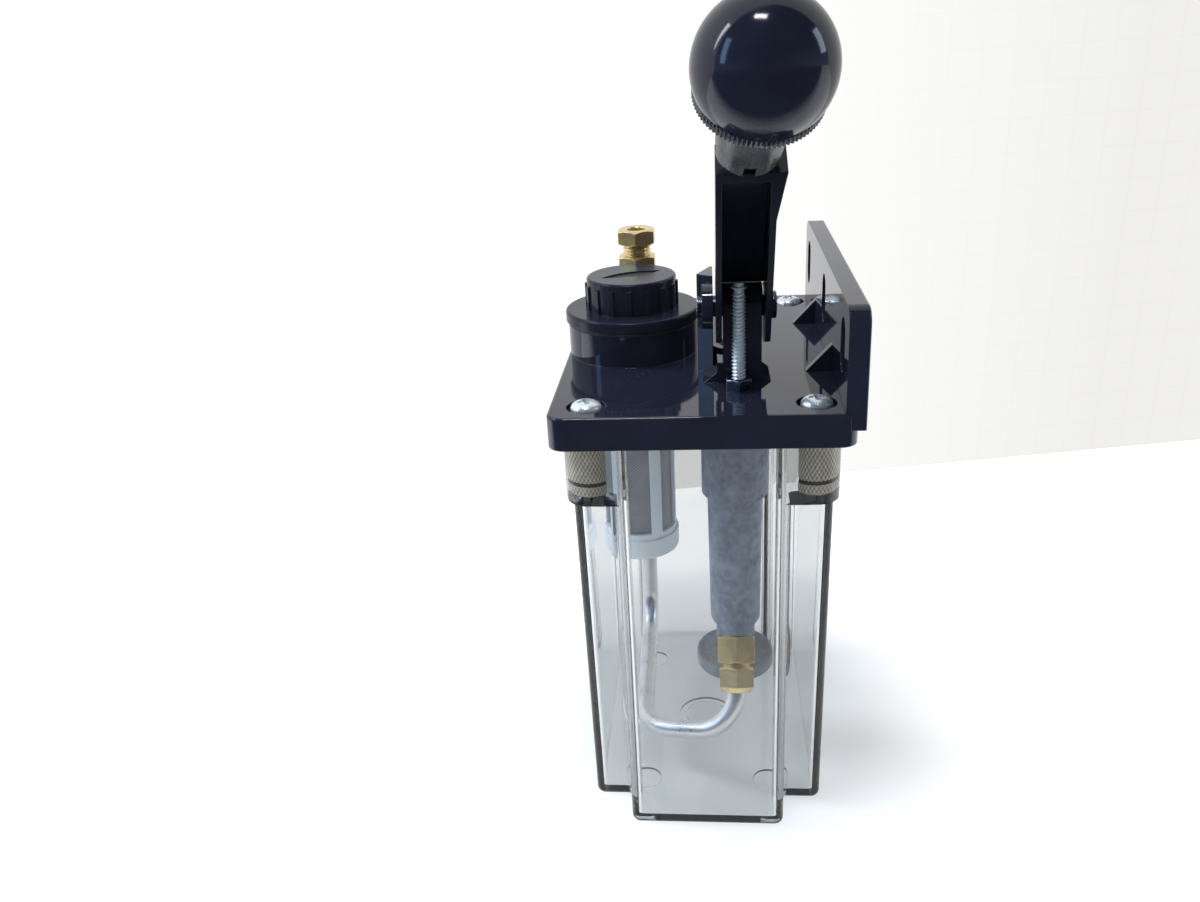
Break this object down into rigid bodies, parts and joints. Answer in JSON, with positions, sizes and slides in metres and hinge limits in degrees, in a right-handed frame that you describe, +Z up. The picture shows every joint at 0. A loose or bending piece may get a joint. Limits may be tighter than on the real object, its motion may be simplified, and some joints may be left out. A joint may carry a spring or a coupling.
{
  "type": "lubrication pump",
  "caption": "Hand-operated one-shot lubricator: clear oil reservoir, black lid with ribbed filler cap, side mounting plate, ball-topped lever and brass outlet.",
  "frame": {"origin": "centre of the flat underside of the reservoir, which stands on its base", "axes": "+Z up, lever pulled towards -Y, mounting plate on the +X side"},
  "size_m": [0.0863, 0.1605, 0.2485],
  "materials": {
    "clear_plastic": "clear",
    "black_plastic": "gloss",
    "black_steel": "gloss",
    "grey_plastic": "matte",
    "seal_rubber": "matte",
    "zinc_steel": "satin",
    "dark_steel": "satin",
    "brass": "bright",
    "insert_brass": "dull",
    "white_plastic": "translucent",
    "steel_mesh": "matte",
    "barrel_alloy": "mottled",
    "tube_alloy": "bright",
    "felt": "felt",
    "spring_steel": "satin"
  },
  "bodies": {
    "housing": {"reservoir": "clear_plastic", "lid_gasket": "seal_rubber", "lid": "black_plastic", "side_plate": "black_plastic", "lid_screws": "zinc_steel", "threaded_inserts": "insert_brass", "strainer_frame": "white_plastic", "strainer_mesh": "steel_mesh", "pump_barrel": "barrel_alloy", "rod_seal": "seal_rubber", "piston_spring": "spring_steel", "suction_filter": "felt", "filter_stem": "brass", "suction_ball": "dark_steel", "delivery_fitting": "brass", "delivery_nut": "brass", "delivery_tube": "tube_alloy", "outlet_fitting": "brass", "outlet_nut": "brass", "outlet_backnut": "brass", "pivot_pin": "dark_steel", "lock_nut": "dark_steel"},
    "lever": {"lever": "black_steel", "link_pin": "dark_steel", "knob_sleeve": "grey_plastic", "ball_knob": "black_plastic"},
    "plunger": {"piston": "brass", "piston_seal": "seal_rubber", "piston_rod": "dark_steel"},
    "cap": {"filler_cap": "black_plastic", "cap_seal": "seal_rubber"},
    "stop": {"stroke_screw": "zinc_steel"}
  },
  "joints": [
    {"name": "lever_swing", "type": "hinge", "parent": "housing", "child": "lever", "pos_m": [0.01205, -0.0285, 0.1652], "axis": [1, 0, 0], "range_deg": [0, 25]},
    {"name": "piston_slide", "type": "slide", "parent": "housing", "child": "plunger", "axis": [0, 0, 1], "range_m": [0, 0.005], "stiffness_N_per_m": 500, "springref_m": -0.01, "deforming": ["piston_spring"]},
    {"name": "cap_lift", "type": "slide", "parent": "housing", "child": "cap", "axis": [0, 0, 1], "range_m": [0, 0.04]},
    {"name": "stroke_adjust", "type": "slide", "parent": "housing", "child": "stop", "axis": [0, 0, 1], "range_m": [-0.01, 0]}
  ],
  "couplings": [
    {"joint": "piston_slide", "follows": "lever_swing", "m_per_rad": 0.01103}
  ]
}
